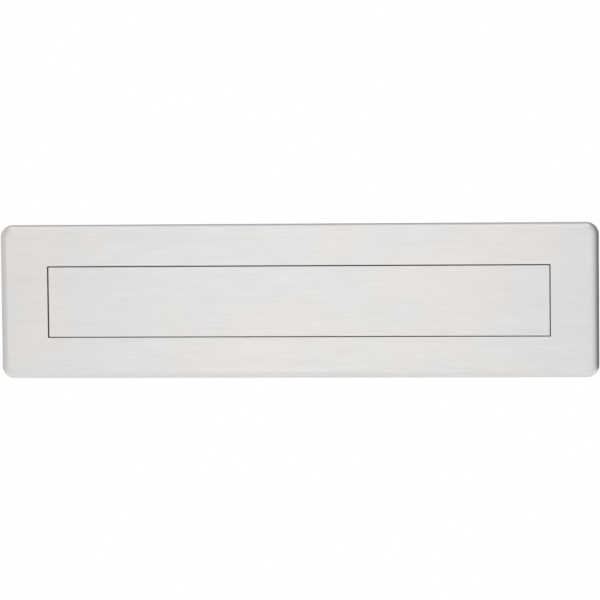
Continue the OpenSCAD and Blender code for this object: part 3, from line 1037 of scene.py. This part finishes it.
SOCKET, SOCKET_BREAK, SOCKET_DEPTH = 3.0, 0.12, 1.55
TIP_RADIUS, TIP_LENGTH = 1.45, 0.5
# inside the barrel the thread is drawn slim, clear of the barrel's own
ENGAGED_LOW, ENGAGED_HIGH = 1.98, 2.08
NECK = M5_MAJOR - 0.05
HEAD_EDGE = 0.45
DOME_ANGLE, DOME_STEPS = math.radians(62), 7

screw_low, screw_high = box_mm("fixing_screw_right")
washer_low, washer_high = box_mm("screw_washer_right")
head_radius = (screw_high.x - screw_low.x) / 2
seat = washer_high.y
dome_height = screw_high.y - seat - HEAD_EDGE
dome = []
for step in range(1, DOME_STEPS + 1):
    turn = DOME_ANGLE * step / DOME_STEPS
    dome.append((
        seat + HEAD_EDGE + dome_height * math.sin(turn) / math.sin(DOME_ANGLE),
        head_radius * math.cos(turn)))
socket_inside = hexagon(SOCKET - SOCKET_BREAK)
for side, name in ((-1, "fixing_screw_left"), (1, "fixing_screw_right")):
    centre = (side * barrel_x, 0, 0)
    rings = turned("Y", centre, [
        (screw_low.y, TIP_RADIUS), (screw_low.y + TIP_LENGTH, ENGAGED_LOW - 0.03)])
    rings += thread_rings(
        centre, screw_low.y + TIP_LENGTH + 0.1, barrel_mouth - 0.3,
        ENGAGED_LOW, ENGAGED_HIGH, M5_PITCH)
    rings += thread_rings(
        centre, barrel_mouth + 0.1, seat - 1.6, M5_MAJOR - M5_DEPTH, M5_MAJOR, M5_PITCH)
    rings += turned("Y", centre, [
        (seat - 0.6, NECK), (seat - 0.15, NECK), (seat, M5_MAJOR + 0.12),
        (seat, head_radius - 0.25), (seat + 0.12, head_radius - 0.05),
        (seat + HEAD_EDGE, head_radius)])
    rings += turned("Y", centre, dome)
    rings += turned("Y", centre, [
        (screw_high.y, hexagon(SOCKET)), (screw_high.y - SOCKET_BREAK, socket_inside),
        (screw_high.y - SOCKET_DEPTH, socket_inside), (screw_high.y - 1.9, 0.08)])
    screw = skin(name + "_threaded", rings)
    screw.data.materials.append(fastener_steel)
    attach(screw, "plate")
    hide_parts(name)

# --- Screw washers -----------------------------------------------------------------------
# Plain stainless washers, stamped from strip: one face has the die's rounded edge and the
# other its slight burr. They spread the head's load on the door's room side.

WASHER_STEPS = 64
WASHER_BORE = 2.7
washer_radius = (washer_high.x - washer_low.x) / 2
washer_profile = [
    (washer_low.y, WASHER_BORE + 0.05), (washer_low.y, washer_radius - 0.1),
    (washer_low.y + 0.06, washer_radius), (washer_high.y - 0.3, washer_radius),
    (washer_high.y - 0.12, washer_radius - 0.06), (washer_high.y - 0.02, washer_radius - 0.2),
    (washer_high.y, washer_radius - 0.4), (washer_high.y, WASHER_BORE + 0.3),
    (washer_high.y - 0.08, WASHER_BORE + 0.1), (washer_high.y - 0.25, WASHER_BORE),
    (washer_low.y + 0.06, WASHER_BORE)]
for side, name in ((-1, "screw_washer_left"), (1, "screw_washer_right")):
    centre = (side * barrel_x, 0, 0)
    washer = skin(
        name + "_stamped", turned("Y", centre, washer_profile, WASHER_STEPS), closed=True)
    washer.data.materials.append(fastener_steel)
    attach(washer, "plate")
    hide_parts(name)

# --- Door gasket -------------------------------------------------------------------------
# Closed-cell EPDM foam strip, 3 mm thick, stuck inside the plate's rim in one length. Its
# ends meet in a butt joint at the middle of the lower side.

GASKET_WIDTH = 3.2
GASKET_ROUND = 0.3
TURN_STEPS, TIGHTEST_TURN = 8, 0.4
BUTT_GAP, STRAIGHT = 0.12, 20.0


def foam_rubber(name):
    """Closed-cell EPDM foam: deep black, matt, with fine open cells at its cut faces."""
    material, tree, place = new_material(name)
    # cells about 0.35 mm across
    cells = add_node(tree, "ShaderNodeTexVoronoi", inputs={
        "Vector": place, "Scale": 1 / (0.35 * MM)})
    # denser and looser places about 4 mm across
    cloud = add_node(tree, "ShaderNodeTexNoise", inputs={
        "Vector": place, "Scale": 1 / (4 * MM), "Detail": 3.0})
    tint = add_node(
        tree, "ShaderNodeValToRGB", inputs={"Fac": cells.outputs["Distance"]},
        stops=((0.1, "#141414"), (0.6, "#2B2B2C")))
    rough = add_node(tree, "ShaderNodeMapRange", inputs={
        "Value": cloud.outputs["Fac"], "To Min": 0.78, "To Max": 0.95})
    relief = add_node(tree, "ShaderNodeBump", inputs={
        "Height": cells.outputs["Distance"], "Strength": 0.7, "Distance": 0.1 * MM})
    connect(tree, tree.nodes["Principled BSDF"], {
        "Base Color": tint.outputs["Color"], "Roughness": rough.outputs["Result"],
        "Normal": relief.outputs[0]})
    return material


gasket_low, gasket_high = box_mm("door_gasket")
gasket_radius = CORNER_RADIUS - (half_length - gasket_high.x)
# one side of the section, as (inset, drop from the top)
half_section = [
    (0.0, gasket_high.y - gasket_low.y), (0.0, GASKET_ROUND), (0.09, 0.09),
    (GASKET_ROUND, 0.0)]
gasket_section = half_section + [
    (GASKET_WIDTH - inset, drop) for inset, drop in half_section[::-1]]


def corner_section(corner, angle):
    """The strip's section where it turns a corner. Its inner side folds into a tight turn."""
    points = []
    for inset, drop in gasket_section:
        radius = max(gasket_radius - inset, TIGHTEST_TURN)
        points.append((
            corner[0] * (gasket_high.x - inset - radius) + radius * math.cos(angle),
            gasket_high.y - drop,
            corner[1] * (gasket_high.z - inset - radius) + radius * math.sin(angle)))
    return points


def straight_section(x):
    """The strip's section on the lower side at x."""
    return [(x, gasket_high.y - drop, gasket_low.z + inset) for inset, drop in gasket_section]


gasket_rings = [straight_section(BUTT_GAP), straight_section(STRAIGHT)]
for corner, start in (((1, -1), 270), ((1, 1), 0), ((-1, 1), 90), ((-1, -1), 180)):
    gasket_rings += [
        corner_section(corner, math.radians(start + 90 * step / TURN_STEPS))
        for step in range(TURN_STEPS + 1)]
gasket_rings += [straight_section(-STRAIGHT), straight_section(-BUTT_GAP)]
door_gasket = skin("door_gasket_foam", gasket_rings, sharp=40)
door_gasket.data.materials.append(foam_rubber("epdm_foam"))
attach(door_gasket, "plate")
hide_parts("door_gasket")

# --- Floor, light and camera -------------------------------------------------------------
# A pale round floor below the plate and an even white surround. A tall soft light on the
# street side, a little to the left, draws the brushing, and a wide one hangs overhead.
# Reflections see a room that dims behind and to the right, which draws the right edge.

FLOOR_RADIUS, FLOOR_DROP = 0.95, 0.38
floor_mesh = bpy.data.meshes.new("floor")
disc = bmesh.new()
bmesh.ops.create_circle(disc, cap_ends=True, segments=96, radius=FLOOR_RADIUS)
disc.to_mesh(floor_mesh)
disc.free()
floor = bpy.data.objects.new("floor", floor_mesh)
floor.location = (0, 0, -FLOOR_DROP)
bpy.context.collection.objects.link(floor)
floor_paint, tree, _ = new_material("pale_floor")
connect(tree, tree.nodes["Principled BSDF"], {
    "Base Color": linear("#F4F4F3"), "Roughness": 0.8})
floor.data.materials.append(floor_paint)

# the way to the dim side of the room, and how bright its two sides are
TO_DIM = (0.66, 0.75, 0.0)
PALE, DIM = 0.86, 0.12
world = bpy.data.worlds.new("surround")
world.use_nodes = True
bpy.context.scene.world = world
tree = world.node_tree
rays = add_node(tree, "ShaderNodeLightPath")
way = add_node(tree, "ShaderNodeTexCoord").outputs["Generated"]
to_dim = add_node(tree, "ShaderNodeVectorMath", {"operation": "DOT_PRODUCT"}, {
    0: way, 1: TO_DIM})
pale = add_node(tree, "ShaderNodeMapRange", {"interpolation_type": "SMOOTHSTEP"}, {
    "Value": to_dim.outputs["Value"], "From Min": -0.5, "From Max": 1.15,
    "To Min": PALE, "To Max": DIM})
# the far left wall is slightly greyer, which draws the left edge
apart = add_node(tree, "ShaderNodeSeparateXYZ", inputs={"Vector": way})
left_wall = add_node(tree, "ShaderNodeMapRange", inputs={
    "Value": apart.outputs["X"], "From Min": -1.0, "From Max": -0.3,
    "To Min": 0.86, "To Max": 1.0})
room = add_node(tree, "ShaderNodeMath", {"operation": "MULTIPLY"}, {
    0: pale.outputs["Result"], 1: left_wall.outputs["Result"]})
# matt surfaces and the camera see it evenly white
white = add_node(tree, "ShaderNodeMapRange", inputs={
    "Value": rays.outputs["Is Camera Ray"], "To Min": 1.1, "To Max": 1.0})
plain = add_node(tree, "ShaderNodeMath", {"operation": "MAXIMUM"}, {
    0: rays.outputs["Is Camera Ray"], 1: rays.outputs["Is Diffuse Ray"]})
level = add_node(tree, "ShaderNodeMix", {"data_type": "FLOAT"}, {
    0: plain.outputs[0], 2: room.outputs[0], 3: white.outputs["Result"]})
connect(tree, tree.nodes["Background"], {"Color": level.outputs[0], "Strength": 1.0})


def soft_light(name, place, width, height, power, colour="#FFFFFF"):
    """A rectangular soft light at place, facing the plate."""
    light = bpy.data.lights.new(name, "AREA")
    light.shape = "RECTANGLE"
    light.size, light.size_y = width, height
    light.energy = power
    light.color = linear(colour)[:3]
    lamp = bpy.data.objects.new(name, light)
    lamp.location = place
    lamp.rotation_mode = "QUATERNION"
    lamp.rotation_quaternion = (-Vector(place)).to_track_quat("-Z", "Y")
    bpy.context.collection.objects.link(lamp)


soft_light("tall_softbox", (-0.25, -2.6, 0.3), 0.7, 4.6, 3.58, "#FFFCF8")
soft_light("overhead", (0.0, -0.4, 1.7), 1.8, 1.4, 3.2)

LENS, SENSOR = 210.0, 36.0
AZIMUTH, ELEVATION, ROLL = (math.radians(a) for a in (5.68, 3.93, -0.60))
DISTANCE = 1.979
AIM = Vector((1.56, face_y, 0.71)) * MM
camera_data = bpy.data.cameras.new("camera")
camera_data.lens = LENS
camera_data.sensor_width = SENSOR
camera_data.clip_start, camera_data.clip_end = 0.05, 50.0
camera = bpy.data.objects.new("camera", camera_data)
bpy.context.collection.objects.link(camera)
back = Vector((
    math.sin(AZIMUTH) * math.cos(ELEVATION),
    -math.cos(AZIMUTH) * math.cos(ELEVATION),
    math.sin(ELEVATION)))
level_right = Vector((math.cos(AZIMUTH), math.sin(AZIMUTH), 0))
level_up = back.cross(level_right)
right = math.cos(ROLL) * level_right + math.sin(ROLL) * level_up
up = -math.sin(ROLL) * level_right + math.cos(ROLL) * level_up
turned_to_aim = Matrix((right, up, back)).transposed().to_4x4()
camera.matrix_world = Matrix.Translation(AIM + back * DISTANCE) @ turned_to_aim
bpy.context.scene.camera = camera
bpy.context.scene.view_settings.view_transform = "Standard"
